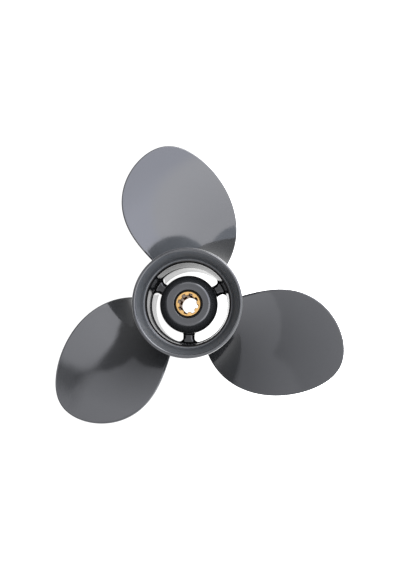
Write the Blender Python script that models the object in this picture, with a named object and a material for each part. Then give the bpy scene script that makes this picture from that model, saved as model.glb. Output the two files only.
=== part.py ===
"""Three-blade propeller of an outboard motor, with the exhaust led out through its hub.

Metres, +Z up. The origin is on the shaft axis, at the front edge of the hub, on which the
propeller stands. +Z points aft, out of the flared outlet, and +Y is the middle of the upper
exhaust passage. It is a right-hand propeller: seen from aft it turns clockwise to go ahead.
"""

import math

import bmesh
import bpy
import numpy as np

# Driving dimensions
TIP_RADIUS = 0.1175
HUB_LENGTH = 0.090
BARREL_RADIUS = 0.0325
EDGE_CHAMFER = 0.0010
SEAM_GAP = 0.0003
ROUND_STEPS = 72

# Exhaust passages, which the casting's draft narrows from the front edge to the ribs' aft face
PASSAGE_FRONT_RADIUS = 0.0282
PASSAGE_AFT_RADIUS = 0.0274

# Flared outlet ring
RING_START = 0.068
RING_OUTER_RADIUS = 0.0384
RING_CREST_RADIUS = 0.0370
RING_WALL_START_RADIUS = 0.0284
RING_THROAT_RADIUS = 0.0294
RING_THROAT_HEIGHT = 0.0762
RING_SHELF_RADIUS = 0.0304
RING_SHELF_HEIGHT = 0.0776
RING_LEDGE_RADIUS = 0.0314
RING_LEDGE_HEIGHT = 0.0785
RING_CREST_START = 0.0004
FLARE_POWER = 1.6
OUTER_FLARE_POWER = 2.2
OUTER_FLARE_END = 0.087

# Inner hub, which holds the rubber bush
INNER_HUB_START = 0.008
INNER_HUB_END = 0.074
INNER_HUB_FACE_RADIUS = 0.0138
INNER_HUB_EDGE_ROUND = 0.0013
INNER_HUB_EDGE_TILT = 48
INNER_HUB_SHOULDER_END = 0.062
CORE_RADIUS = 0.0208
CORE_FRONT_RADIUS = 0.0196
LIP_RADIUS = 0.0101
LIP_THICKNESS = 0.004
BUSH_BORE_RADIUS = 0.0155

# Ribs
RIB_COUNT = 3
FIRST_RIB_ANGLE = math.radians(28.6)
RIB_HALF_WIDTH = 0.0042
RIB_FRONT_HALF_WIDTH = 0.0032
RIB_CORE_FILLET = 0.0010
RIB_WALL_FILLET = 0.0028
RIB_START = 0.012
RIB_END = 0.051

# Rubber bush and splined sleeve
BUSH_START = 0.012
BUSH_NECK_TOP = 0.0715
SLEEVE_START = 0.015
SLEEVE_END = 0.0746
SLEEVE_RADIUS = 0.0088
SPLINE_COUNT = 8
SPLINE_GROOVE_RADIUS = 0.0072
SPLINE_LAND_RADIUS = 0.0059
SPLINE_HALF_GROOVE = 10.5
SPLINE_FLANK = 2.0
FIRST_GROOVE_ANGLE = math.radians(30)

# Blades
BLADE_COUNT = 3
FIRST_BLADE_ANGLE = math.radians(98)
BLADE_TIP_FRACTION = 0.999
BLADE_MID_HEIGHT = 0.0525
BLADE_MID_RADIUS = 0.0725
BLADE_SPAN_UNIT = 0.0414
PITCH_PER_RADIAN = 0.0295
PITCH_LOSS = 0.0006
RAKE_RISE = 0.0081
RAKE_BEND = 0.0034
EDGE_HALF_THICKNESS = 0.0009
RIM_HALF_THICKNESS = 0.00035
ROOT_HALF_THICKNESS = 0.0042
ROOT_FILLET = 0.0035
ROOT_FILLET_REACH = 0.0056

# Paint, rubber and metal: colour, roughness, metallic
FINISHES = {
    "grey_paint": ((0.105, 0.112, 0.122), 0.28, 0.35),
    "black_rubber": ((0.012, 0.012, 0.012), 0.70, 0.0),
    "brass": ((0.72, 0.46, 0.18), 0.30, 1.0),
}


def clear_scene():
    for thing in list(bpy.data.objects):
        bpy.data.objects.remove(thing, do_unlink=True)


def material(name):
    """The Principled BSDF material of this finish, made once."""
    found = bpy.data.materials.get(name)
    if found:
        return found
    colour, roughness, metallic = FINISHES[name]
    made = bpy.data.materials.new(name)
    made.use_nodes = True
    shader = made.node_tree.nodes["Principled BSDF"]
    shader.inputs["Base Color"].default_value = (*colour, 1)
    shader.inputs["Roughness"].default_value = roughness
    shader.inputs["Metallic"].default_value = metallic
    return made


def add_object(name, shape, finish):
    """An object made of this bmesh, with its finish."""
    mesh = bpy.data.meshes.new(name)
    shape.to_mesh(mesh)
    shape.free()
    mesh.materials.append(material(finish))
    thing = bpy.data.objects.new(name, mesh)
    bpy.context.scene.collection.objects.link(thing)
    return thing


def smooth(thing):
    """Shades a piece smooth but for its edges."""
    thing.data.shade_smooth()
    thing.data.set_sharp_from_angle(angle=math.radians(35))


def arc(centre, radii, start, end, steps):
    """Points of an ellipse's arc in the plane of radius and height, angles in degrees from +radius."""
    angles = np.radians(np.linspace(start, end, steps + 1))
    return [(centre[0] + radii[0] * math.cos(a), centre[1] + radii[1] * math.sin(a)) for a in angles]


def bent_line(start, corner, end, steps):
    """A smooth bend from start to end that leaves and arrives along the lines to the corner."""
    part = np.linspace(0, 1, steps + 1)[:, None]
    start, corner, end = np.array(start), np.array(corner), np.array(end)
    points = (1 - part) ** 2 * start + 2 * part * (1 - part) * corner + part**2 * end
    return [tuple(point) for point in points]


def turned(name, profile, finish):
    """A ring turned about Z from a closed profile of (radius, height), outer side from top to bottom."""
    shape = bmesh.new()
    ring = [shape.verts.new((radius, 0, height)) for radius, height in profile]
    for here, there in zip(ring, ring[1:] + ring[:1]):
        shape.edges.new((here, there))
    thing = add_object(name, shape, finish)
    turn = thing.modifiers.new("turn", "SCREW")
    turn.steps = ROUND_STEPS
    turn.render_steps = ROUND_STEPS
    turn.use_merge_vertices = True
    turn.merge_threshold = 0.00001
    turn.use_smooth_shade = True
    return thing


def passage_radius(height):
    """Radius of the exhaust passages' outer wall, which the draft narrows towards the ribs' aft face."""
    return float(np.interp(height, (0, RIB_END), (PASSAGE_FRONT_RADIUS, PASSAGE_AFT_RADIUS)))


def core_radius(height):
    """Radius of the inner hub below its shoulder, which the draft widens towards the aft."""
    return float(
        np.interp(height, (INNER_HUB_START, INNER_HUB_SHOULDER_END), (CORE_FRONT_RADIUS, CORE_RADIUS))
    )


def ring_wall_radius(height):
    """Inner radius of the outlet between the ribs' aft face and its throat."""
    return float(
        np.interp(height, (RIB_END, RING_THROAT_HEIGHT), (RING_WALL_START_RADIUS, RING_THROAT_RADIUS))
    )


def hub_barrel():
    """The outer tube of the hub, which carries the blades outside and the ribs inside."""
    top = RING_START - SEAM_GAP / 2
    step_top = RIB_END + EDGE_CHAMFER
    profile = [
        (BARREL_RADIUS, top),
        (BARREL_RADIUS, EDGE_CHAMFER),
        (BARREL_RADIUS - EDGE_CHAMFER, 0),
        (PASSAGE_FRONT_RADIUS + EDGE_CHAMFER / 2, 0),
        (PASSAGE_FRONT_RADIUS, EDGE_CHAMFER / 2),
        (PASSAGE_AFT_RADIUS, RIB_END),
        (ring_wall_radius(step_top), step_top),
        (ring_wall_radius(top), top),
    ]
    return turned("hub_barrel", profile, "grey_paint")


def flare_radius(height):
    """Inner radius of the flare, which opens faster towards its crest."""
    rise = (height - RING_LEDGE_HEIGHT) / (HUB_LENGTH - RING_LEDGE_HEIGHT)
    widening = RING_CREST_RADIUS - RING_CREST_START - RING_LEDGE_RADIUS
    return RING_LEDGE_RADIUS + widening * rise**FLARE_POWER


def diffuser_ring():
    """The flared outlet at the aft end of the barrel, with a round crest and a small ledge inside."""
    bottom = RING_START + SEAM_GAP / 2
    lip = RING_OUTER_RADIUS - RING_CREST_RADIUS
    crest = arc((RING_CREST_RADIUS, HUB_LENGTH - lip), (lip, lip), 108, 0, 6)
    heights = np.linspace(OUTER_FLARE_END, RING_START, 8)[:-1]
    rises = (heights - RING_START) / (OUTER_FLARE_END - RING_START)
    flare = BARREL_RADIUS + (RING_OUTER_RADIUS - BARREL_RADIUS) * rises**OUTER_FLARE_POWER
    inner_heights = np.linspace(RING_LEDGE_HEIGHT, HUB_LENGTH - RING_CREST_START, 6)
    inner = [(flare_radius(height), height) for height in inner_heights[:-1]]
    profile = (
        crest
        + list(zip(flare, heights))
        + [(BARREL_RADIUS, bottom), (ring_wall_radius(bottom), bottom)]
        + [(RING_THROAT_RADIUS, RING_THROAT_HEIGHT), (RING_SHELF_RADIUS, RING_SHELF_HEIGHT)]
        + inner
    )
    return turned("diffuser_ring", profile, "grey_paint")


def inner_hub():
    """The round core, whose lip at the aft end closes over the rubber bush."""
    edge_round = (INNER_HUB_EDGE_ROUND, INNER_HUB_EDGE_ROUND)
    edge_centre = (INNER_HUB_FACE_RADIUS, INNER_HUB_END - INNER_HUB_EDGE_ROUND)
    edge = arc(edge_centre, edge_round, 90, 90 - INNER_HUB_EDGE_TILT, 3)
    drop = (CORE_RADIUS - edge[-1][0]) * math.tan(math.radians(INNER_HUB_EDGE_TILT))
    shoulder = bent_line(
        edge[-1], (CORE_RADIUS, edge[-1][1] - drop), (CORE_RADIUS, INNER_HUB_SHOULDER_END), 6
    )
    lip_bottom = INNER_HUB_END - LIP_THICKNESS
    profile = edge + shoulder[1:] + [
        (core_radius(INNER_HUB_START + EDGE_CHAMFER), INNER_HUB_START + EDGE_CHAMFER),
        (CORE_FRONT_RADIUS - EDGE_CHAMFER, INNER_HUB_START),
        (BUSH_BORE_RADIUS + EDGE_CHAMFER, INNER_HUB_START),
        (BUSH_BORE_RADIUS, INNER_HUB_START + EDGE_CHAMFER),
        (BUSH_BORE_RADIUS, lip_bottom),
        (LIP_RADIUS, lip_bottom),
        (LIP_RADIUS, INNER_HUB_END),
    ]
    return turned("inner_hub", profile, "grey_paint")


def rubber_bush():
    """The rubber between the sleeve and the inner hub, with a thin neck that shows round the sleeve."""
    inside = SLEEVE_RADIUS + SEAM_GAP
    outside = BUSH_BORE_RADIUS - SEAM_GAP
    shoulder = INNER_HUB_END - LIP_THICKNESS - SEAM_GAP
    neck = LIP_RADIUS - SEAM_GAP
    profile = [
        (neck, BUSH_NECK_TOP),
        (neck, shoulder),
        (outside, shoulder),
        (outside, BUSH_START),
        (inside, BUSH_START),
        (inside, BUSH_NECK_TOP),
    ]
    return turned("rubber_bush", profile, "black_rubber")


def bore_stations():
    """Angles at which one groove and land of the bore are cut, with the radius at each."""
    period = 360 / SPLINE_COUNT
    groove = [-SPLINE_HALF_GROOVE, 0, SPLINE_HALF_GROOVE]
    land = np.linspace(SPLINE_HALF_GROOVE + SPLINE_FLANK, period - SPLINE_HALF_GROOVE - SPLINE_FLANK, 5)
    angles = np.radians(groove + list(land))
    return list(zip(angles, [SPLINE_GROOVE_RADIUS] * len(groove) + [SPLINE_LAND_RADIUS] * len(land)))


def spline_sleeve():
    """The brass sleeve, with grooves that fit the splines of the propeller shaft."""
    period = 2 * math.pi / SPLINE_COUNT
    shape = bmesh.new()
    rings = {"outer_low": [], "outer_high": [], "inner_high": [], "inner_low": []}
    for groove in range(SPLINE_COUNT):
        for station, inner in bore_stations():
            angle = FIRST_GROOVE_ANGLE + groove * period + station
            for ring, radius, height in (
                ("outer_low", SLEEVE_RADIUS, SLEEVE_START),
                ("outer_high", SLEEVE_RADIUS, SLEEVE_END),
                ("inner_high", inner, SLEEVE_END),
                ("inner_low", inner, SLEEVE_START),
            ):
                point = (radius * math.cos(angle), radius * math.sin(angle), height)
                rings[ring].append(shape.verts.new(point))
    loops = list(rings.values())
    for here, there in zip(loops, loops[1:] + loops[:1]):
        for i in range(len(here)):
            following = (i + 1) % len(here)
            shape.faces.new((here[i], here[following], there[following], there[i]))
    bmesh.ops.recalc_face_normals(shape, faces=shape.faces)
    thing = add_object("spline_sleeve", shape, "brass")
    smooth(thing)
    return thing


def circle_points(centre, size, start, end, steps):
    """Points of an arc in the plane of the ribs, angles in radians."""
    angles = np.linspace(start, end, steps + 1)
    return [(centre[0] + size * math.cos(a), centre[1] + size * math.sin(a)) for a in angles]


def rib_outline(angle, height, half_width):
    """A rib's outline seen along the axis: straight flanks with a fillet at the core and at the wall.

    The fillets are tangent to the core and to the passage's outer wall. The outline stops at the
    seam gap from both, so that the rib touches neither.
    """
    core, wall = core_radius(height), passage_radius(height)
    core_out, wall_out = core + RIB_CORE_FILLET, wall - RIB_WALL_FILLET
    core_across, wall_across = half_width + RIB_CORE_FILLET, half_width + RIB_WALL_FILLET
    core_lean = math.asin(core_across / core_out)
    wall_lean = math.asin(wall_across / wall_out)

    def cut(reach, size, radius):
        """Angle between a fillet's touching point and the place where it reaches this radius."""
        return math.acos((radius**2 - reach**2 - size**2) / (2 * reach * size))

    core_cut = math.pi - cut(core_out, RIB_CORE_FILLET, core + SEAM_GAP)
    wall_cut = cut(wall_out, RIB_WALL_FILLET, wall - SEAM_GAP)
    core_centre = (core_out * math.cos(core_lean), core_across)
    wall_centre = (wall_out * math.cos(wall_lean), wall_across)
    down = 1.5 * math.pi
    side = circle_points(core_centre, RIB_CORE_FILLET, math.pi + core_lean + core_cut, down, 4)
    side += circle_points(wall_centre, RIB_WALL_FILLET, down, 2 * math.pi + wall_lean - wall_cut, 6)
    wall_swing = math.atan2(side[-1][1], side[-1][0])
    core_swing = math.atan2(side[0][1], side[0][0])
    wall_arc = circle_points((0, 0), wall - SEAM_GAP, wall_swing, -wall_swing, 6)[1:-1]
    core_arc = circle_points((0, 0), core + SEAM_GAP, -core_swing, core_swing, 6)[1:-1]
    plan = side + wall_arc + [(x, -y) for x, y in reversed(side)] + core_arc
    cosine, sine = math.cos(angle), math.sin(angle)
    return [(x * cosine - y * sine, x * sine + y * cosine) for x, y in plan]


def rib(name, angle):
    """A rib between its front and aft outlines, thinner in front by the casting's draft."""
    shape = bmesh.new()
    loops = []
    for height, half_width in ((RIB_START, RIB_FRONT_HALF_WIDTH), (RIB_END, RIB_HALF_WIDTH)):
        outline = rib_outline(angle, height, half_width)
        loops.append([shape.verts.new((x, y, height)) for x, y in outline])
    front, aft = loops
    shape.faces.new(front)
    shape.faces.new(aft)
    for i in range(len(front)):
        following = (i + 1) % len(front)
        shape.faces.new((front[i], front[following], aft[following], aft[i]))
    bmesh.ops.recalc_face_normals(shape, faces=shape.faces)
    thing = add_object(name, shape, "grey_paint")
    smooth(thing)
    return thing


def ribs():
    for number in range(RIB_COUNT):
        rib(f"rib_{number + 1}", FIRST_RIB_ANGLE + number * 2 * math.pi / RIB_COUNT)


def blade_mid_angle(fraction):
    """Angle of the blade's middle line in radians, at a fraction of the tip radius: it is swept back."""
    out = fraction - 0.7
    return np.radians(-1.4 + 17.1 * out - 22.8 * out**2 - 44.0 * out**3)


def blade_half_angle(fraction):
    """Half of the angle that the blade covers, which closes to nothing at the tip."""
    closing = np.sqrt(np.clip(1 - fraction / BLADE_TIP_FRACTION, 0, None))
    return np.radians(closing * np.sqrt(2878 - 7266 * (fraction - 0.587) ** 2))


def blade_height(radius, angle):
    """Height of the blade's middle surface: a screw surface, raked aft."""
    span = (radius - BLADE_MID_RADIUS) / BLADE_SPAN_UNIT
    pitch = PITCH_PER_RADIAN - PITCH_LOSS * span
    return BLADE_MID_HEIGHT + pitch * angle + RAKE_RISE * span - RAKE_BEND * span**2


def blade_points(along, out, side):
    """One face of a blade as a grid of points, lying along +X.

    along runs round the blade's outline, from the leading root over the tip to the trailing root.
    out runs from the root, on the barrel, to that outline. side is +1 aft and -1 ahead.
    """
    root = BARREL_RADIUS + SEAM_GAP
    root_fraction = root / TIP_RADIUS
    rim_fraction = root_fraction + (BLADE_TIP_FRACTION - root_fraction) * np.sin(math.pi * along)
    facing = np.where(along < 0.5, -1, 1)
    rim_angle = blade_mid_angle(rim_fraction) + facing * blade_half_angle(rim_fraction)
    root_angle = blade_mid_angle(root_fraction) - blade_half_angle(root_fraction) * np.cos(math.pi * along)
    radius = root + (rim_fraction * TIP_RADIUS - root) * out
    angle = root_angle + (rim_angle - root_angle) * out
    length = np.hypot(rim_fraction * TIP_RADIUS - root, radius * (rim_angle - root_angle))

    fraction = radius / TIP_RADIUS
    half = np.maximum(blade_half_angle(fraction), 1e-6)
    across = np.clip((angle - blade_mid_angle(fraction)) / half, -1, 1)
    fullness = (1 - fraction) / (1 - root_fraction)
    thickness = EDGE_HALF_THICKNESS + (ROOT_HALF_THICKNESS - EDGE_HALF_THICKNESS) * fullness * (1 - across**2)
    fillet = ROOT_FILLET * np.clip(1 - (radius - root) / ROOT_FILLET_REACH, 0, 1) ** 2
    thickness += fillet * (1 - across**2)
    inward = np.clip((1 - out) * length / (2 * EDGE_HALF_THICKNESS), 0, 1)
    thickness = RIM_HALF_THICKNESS + (thickness - RIM_HALF_THICKNESS) * np.sqrt(1 - (1 - inward) ** 2)
    thickness *= np.clip(length / (2 * EDGE_HALF_THICKNESS), 0, 1)

    slope = np.hypot(radius, PITCH_PER_RADIAN)
    height = blade_height(radius, angle) + side * thickness * radius / slope
    angle = angle - side * thickness * PITCH_PER_RADIAN / (slope * radius)
    return np.stack([radius * np.cos(angle), radius * np.sin(angle), height], axis=-1)


def blade(name, turn):
    """A blade as two faces joined round its outline, and by a foot that follows the barrel."""
    along = np.linspace(0, 1, 33)[:, None]
    out = np.array([0, 0.02, 0.05, 0.12, 0.26, 0.44, 0.62, 0.78, 0.90, 0.965, 0.985, 1])[None, :]
    shape = bmesh.new()
    faces = {}
    for side in (1, -1):
        grid = blade_points(along, out, side)
        faces[side] = [[shape.verts.new(point) for point in row] for row in grid]
    last = out.shape[1] - 1
    for i in range(len(along) - 1):
        for j in range(last):
            for side in (1, -1):
                here, there = faces[side][i], faces[side][i + 1]
                shape.faces.new((here[j], there[j], there[j + 1], here[j + 1]))
        upper, lower = faces[1], faces[-1]
        shape.faces.new((upper[i][last], upper[i + 1][last], lower[i + 1][last], lower[i][last]))

    between = [blade_points(along, out[:, :1], side)[:, 0] for side in (0.5, 0, -0.5)]
    foot = [[row[0] for row in faces[1]]]
    foot += [[shape.verts.new(point) for point in line] for line in between]
    foot += [[row[0] for row in faces[-1]]]
    for here, there in zip(foot, foot[1:]):
        for i in range(len(along) - 1):
            shape.faces.new((here[i], here[i + 1], there[i + 1], there[i]))
    bmesh.ops.remove_doubles(shape, verts=shape.verts, dist=1e-6)
    bmesh.ops.dissolve_degenerate(shape, edges=shape.edges, dist=1e-6)
    bmesh.ops.recalc_face_normals(shape, faces=shape.faces)
    thing = add_object(name, shape, "grey_paint")
    thing.rotation_euler = (0, 0, turn)
    smooth(thing)
    return thing


def blades():
    for number in range(BLADE_COUNT):
        blade(f"blade_{number + 1}", FIRST_BLADE_ANGLE + number * 2 * math.pi / BLADE_COUNT)


def main():
    clear_scene()
    hub_barrel()
    diffuser_ring()
    inner_hub()
    ribs()
    rubber_bush()
    spline_sleeve()
    blades()


main()
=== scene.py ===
"""Looks of a three-blade outboard motor propeller, seen from aft in a plain white studio.

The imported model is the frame: metres, +Z aft along the shaft, the hub's front edge on the floor.
Barrel, outlet ring, inner hub, ribs and blades are one painted casting on the real propeller, so
here their skins run into each other with fillets. A rubber bush and a brass sleeve sit in the hub.
"""

import logging
import math
from dataclasses import dataclass
from enum import Enum
from functools import partial
from itertools import chain

import bmesh
import bpy
import numpy as np
from bpy.types import Camera, Material, Mesh, Node, NodeSocket, NodeTree, Object
from mathutils import Matrix, Vector


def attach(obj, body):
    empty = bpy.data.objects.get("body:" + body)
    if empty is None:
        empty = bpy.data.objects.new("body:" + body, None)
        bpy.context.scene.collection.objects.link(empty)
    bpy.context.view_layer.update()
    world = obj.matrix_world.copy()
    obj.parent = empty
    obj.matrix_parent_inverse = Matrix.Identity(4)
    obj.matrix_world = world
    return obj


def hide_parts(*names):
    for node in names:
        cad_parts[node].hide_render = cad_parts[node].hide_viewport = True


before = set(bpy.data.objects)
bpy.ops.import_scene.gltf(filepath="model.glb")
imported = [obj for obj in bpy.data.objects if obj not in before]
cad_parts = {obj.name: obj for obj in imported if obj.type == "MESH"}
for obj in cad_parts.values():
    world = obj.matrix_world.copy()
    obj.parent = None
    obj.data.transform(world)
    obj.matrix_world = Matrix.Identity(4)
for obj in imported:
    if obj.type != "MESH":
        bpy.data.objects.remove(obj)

LOG = logging.getLogger("propeller")
MM_PER_M = 1000.0
FULL_TURN = 2 * math.pi
QUARTER_TURN = math.pi / 2
MERGE_DISTANCE = 5e-7
TINY_SQUARE = 1e-12
SHARP_ANGLE = math.radians(38)
WHITE = (1.0, 1.0, 1.0, 1.0)

Array = np.ndarray
Point = tuple[float, float]


class Slot(Enum):
    """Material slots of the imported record."""

    PAINT = "grey_paint"
    RUBBER = "black_rubber"
    BRASS = "brass"


class BladePlace(Enum):
    """The three blades: CAD node and the degrees that it is turned from +X."""

    TOP = ("blade_1", 98.0)
    LEFT = ("blade_2", 218.0)
    RIGHT = ("blade_3", 338.0)


# Colours and nodes


def linear(hex_colour: str) -> tuple[float, float, float, float]:
    """Turns an sRGB hex colour into linear red, green, blue and alpha.

    Args:
        hex_colour: six hex digits after a hash sign.

    Returns:
        Linear components from 0 to 1, alpha 1.
    """
    parts = np.array([int(hex_colour[i : i + 2], 16) for i in (1, 3, 5)]) / 255
    straight = np.where(parts <= 0.04045, parts / 12.92, ((parts + 0.055) / 1.055) ** 2.4)
    return (*straight.tolist(), 1.0)


def feed(node: Node, inputs: dict) -> None:
    """Gives a node's inputs values or links.

    Args:
        node: the node.
        inputs: for an input's name or number, the value to set or the output socket to link.
    """
    for key, value in inputs.items():
        if isinstance(value, NodeSocket):
            node.id_data.links.new(value, node.inputs[key])
        else:
            node.inputs[key].default_value = value


def add_node(tree: NodeTree, kind: str, inputs: dict | None = None, **settings: object) -> Node:
    """Adds a node, sets its settings, and gives its inputs values or links.

    Args:
        tree: node tree that takes it.
        kind: Blender's type name of the node, without ShaderNode before it.
        inputs: for an input's name or number, the value to set or the output socket to link.
        settings: properties of the node, by name.

    Returns:
        The new node.
    """
    node = tree.nodes.new("ShaderNode" + kind)
    for name, value in settings.items():
        setattr(node, name, value)
    feed(node, inputs or {})
    return node


def new_material(name: str) -> tuple[Material, Node, NodeSocket]:
    """Starts a material.

    Args:
        name: its name.

    Returns:
        The material, its Principled shader and the socket of the place on the object.
    """
    made = bpy.data.materials.new(name)
    made.use_nodes = True
    place = add_node(made.node_tree, "TexCoord").outputs["Object"]
    return made, made.node_tree.nodes["Principled BSDF"], place


def cells(place: NodeSocket, millimetres: float, **more: float) -> dict:
    """Inputs of a pattern whose cells measure this many millimetres, and further ones by name."""
    return {"Vector": place, "Scale": MM_PER_M / millimetres} | more


@dataclass(frozen=True)
class PaintOnDieCastAluminium:
    """Dark grey two-layer gloss enamel, sprayed and baked on die-cast aluminium.

    The eye gets a dark body colour under a clear gloss that mirrors the studio's panels. The
    sprayed film leaves a fine orange peel, and the casting under it is never quite flat, so the
    mirrored edges waver a little. A trace of fine flake lightens the body colour in grains.
    """

    name: str = "gloss_enamel_on_cast_aluminium"
    body: str = "#28292A"
    body_light: str = "#2E2F30"
    body_roughness: float = 0.11
    roughness_spread: float = 0.05
    body_gloss: float = 0.5
    coat: float = 1.0
    coat_roughness: float = 0.04
    refraction: float = 1.5
    peel_mm: float = 1.3
    peel_height_mm: float = 0.006
    wave_mm: float = 14.0
    wave_height_mm: float = 0.05
    flake_mm: float = 0.7
    flake_spread: float = 0.18
    cloud_mm: float = 22.0

    def make(self) -> Material:
        """Makes the paint.

        Returns:
            The material.
        """
        made, shader, place = new_material(self.name)
        add = partial(add_node, made.node_tree)
        pattern = cells(place, self.cloud_mm, Detail=3.0, Roughness=0.6)
        cloud = add("TexNoise", pattern).outputs["Fac"]
        flake = add("TexVoronoi", cells(place, self.flake_mm))
        spread = {"To Min": -self.flake_spread, "To Max": self.flake_spread}
        grains = add("MapRange", {"Value": flake.outputs["Color"]} | spread).outputs["Result"]
        blend = add("Math", {0: cloud, 1: grains}, operation="ADD").outputs[0]
        colours = {6: linear(self.body), 7: linear(self.body_light)}
        colour = add("Mix", {0: blend} | colours, data_type="RGBA").outputs[2]
        low, high = (self.body_roughness + way * self.roughness_spread for way in (-1, 1))
        middle = {"From Min": 0.3, "From Max": 0.7, "To Min": low, "To Max": high}
        satin = add("MapRange", {"Value": cloud} | middle).outputs["Result"]
        relief = {}
        layers = ((self.wave_mm, self.wave_height_mm), (self.peel_mm, self.peel_height_mm))
        for size, height in layers:
            uneven = add("TexNoise", cells(place, size, Detail=1.0, Roughness=0.4)).outputs["Fac"]
            relief |= {"Height": uneven, "Strength": 1.0, "Distance": height / MM_PER_M}
            relief["Normal"] = add("Bump", relief).outputs["Normal"]
        feed(shader, {
            "Base Color": colour,
            "Roughness": satin,
            "Normal": relief["Normal"],
            "Coat Normal": relief["Normal"],
            "IOR": self.refraction,
            "Specular IOR Level": self.body_gloss,
            "Coat Weight": self.coat,
            "Coat Roughness": self.coat_roughness,
            "Coat IOR": self.refraction,
        })
        return made


@dataclass(frozen=True)
class MouldedRubber:
    """Black natural rubber with carbon black, moulded and bonded into the hub.

    The eye gets a nearly black, dull surface with the fine grain of a sandblasted mould.
    """

    body: str = "#060606"
    bloom: str = "#0C0C0C"
    roughness: float = 0.75
    refraction: float = 1.52
    grain_mm: float = 0.35
    grain_height_mm: float = 0.03
    bloom_mm: float = 5.0

    def make(self) -> Material:
        """Makes the rubber.

        Returns:
            The material.
        """
        made, shader, place = new_material("moulded_black_rubber")
        add = partial(add_node, made.node_tree)
        bloom = add("TexNoise", cells(place, self.bloom_mm, Detail=4.0)).outputs["Fac"]
        colours = {6: linear(self.body), 7: linear(self.bloom)}
        grain = add("TexNoise", cells(place, self.grain_mm, Detail=2.0)).outputs["Fac"]
        relief = {"Height": grain, "Strength": 1.0, "Distance": self.grain_height_mm / MM_PER_M}
        feed(shader, {
            "Base Color": add("Mix", {0: bloom} | colours, data_type="RGBA").outputs[2],
            "Normal": add("Bump", relief).outputs["Normal"],
            "Roughness": self.roughness,
            "IOR": self.refraction,
        })
        return made


@dataclass(frozen=True)
class MachinedBrass:
    """Free-cutting brass, turned on its outside and end faces and broached in its bore.

    The eye gets a warm yellow metal whose end face carries fine rings, brighter towards the
    panels that stand across them, and a duller, pinker bore with lines along the shaft.
    """

    face: str = "#DDB678"
    face_dark: str = "#BB9258"
    bore: str = "#A98660"
    roughness: float = 0.30
    bore_dulling: float = 0.18
    brushing: float = 0.5
    ring_mm: float = 0.45
    rings_per_scale: float = 20.0
    ring_height_mm: float = 0.004
    broach_mm: float = 0.5
    broach_height_mm: float = 0.012
    broach_stretch: tuple[float, float, float] = (1.0, 1.0, 0.02)
    cloud_mm: float = 3.0
    bore_margin: float = 0.0002
    bore_border: float = 0.0001
    face_border: tuple[float, float] = (0.0003, 0.0009)

    def make(self, bore_radius: float, face_height: float) -> Material:
        """Makes the brass.

        Args:
            bore_radius: radius from the shaft axis inside which the surface is broached.
            face_height: height of the aft end face.

        Returns:
            The material.
        """
        made, shader, place = new_material("machined_brass")
        add = partial(add_node, made.node_tree)
        parts = add("SeparateXYZ", {0: place}).outputs
        flat = add("CombineXYZ", {0: parts["X"], 1: parts["Y"]}).outputs[0]
        radius = add("VectorMath", {0: flat}, operation="LENGTH").outputs["Value"]
        rim = bore_radius + self.bore_margin
        borders = (
            (radius, rim + self.bore_border, rim - self.bore_border),
            (parts["Z"], *(face_height - depth for depth in self.face_border)),
        )
        within = {
            number: add("MapRange", {"Value": value, "From Min": none, "From Max": full}).outputs[0]
            for number, (value, none, full) in enumerate(borders)
        }
        broached = add("Math", within, operation="MULTIPLY").outputs[0]
        cloud = add("TexNoise", cells(place, self.cloud_mm, Detail=4.0)).outputs["Fac"]
        colours = {6: linear(self.face_dark), 7: linear(self.face)}
        face = add("Mix", {0: cloud} | colours, data_type="RGBA").outputs[2]
        colours = {6: face, 7: linear(self.bore)}
        dull = {"To Min": self.roughness, "To Max": self.roughness + self.bore_dulling}
        pattern = cells(flat, self.ring_mm * self.rings_per_scale, Distortion=0.4)
        rings = add("TexWave", pattern, wave_type="RINGS", rings_direction="Z").outputs["Fac"]
        long = add("Mapping", {"Vector": place, "Scale": self.broach_stretch}).outputs["Vector"]
        lines = add("TexNoise", cells(long, self.broach_mm, Detail=2.0)).outputs["Fac"]
        relief = {}
        for uneven, height in ((rings, self.ring_height_mm), (lines, self.broach_height_mm)):
            relief |= {"Height": uneven, "Strength": 1.0, "Distance": height / MM_PER_M}
            relief["Normal"] = add("Bump", relief).outputs["Normal"]
        feed(shader, {
            "Base Color": add("Mix", {0: broached} | colours, data_type="RGBA").outputs[2],
            "Roughness": add("MapRange", {"Value": broached} | dull).outputs["Result"],
            "Normal": relief["Normal"],
            "Tangent": add("Tangent", direction_type="RADIAL", axis="Z").outputs["Tangent"],
            "Metallic": 1.0,
            "Anisotropic": self.brushing,
        })
        return made


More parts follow.
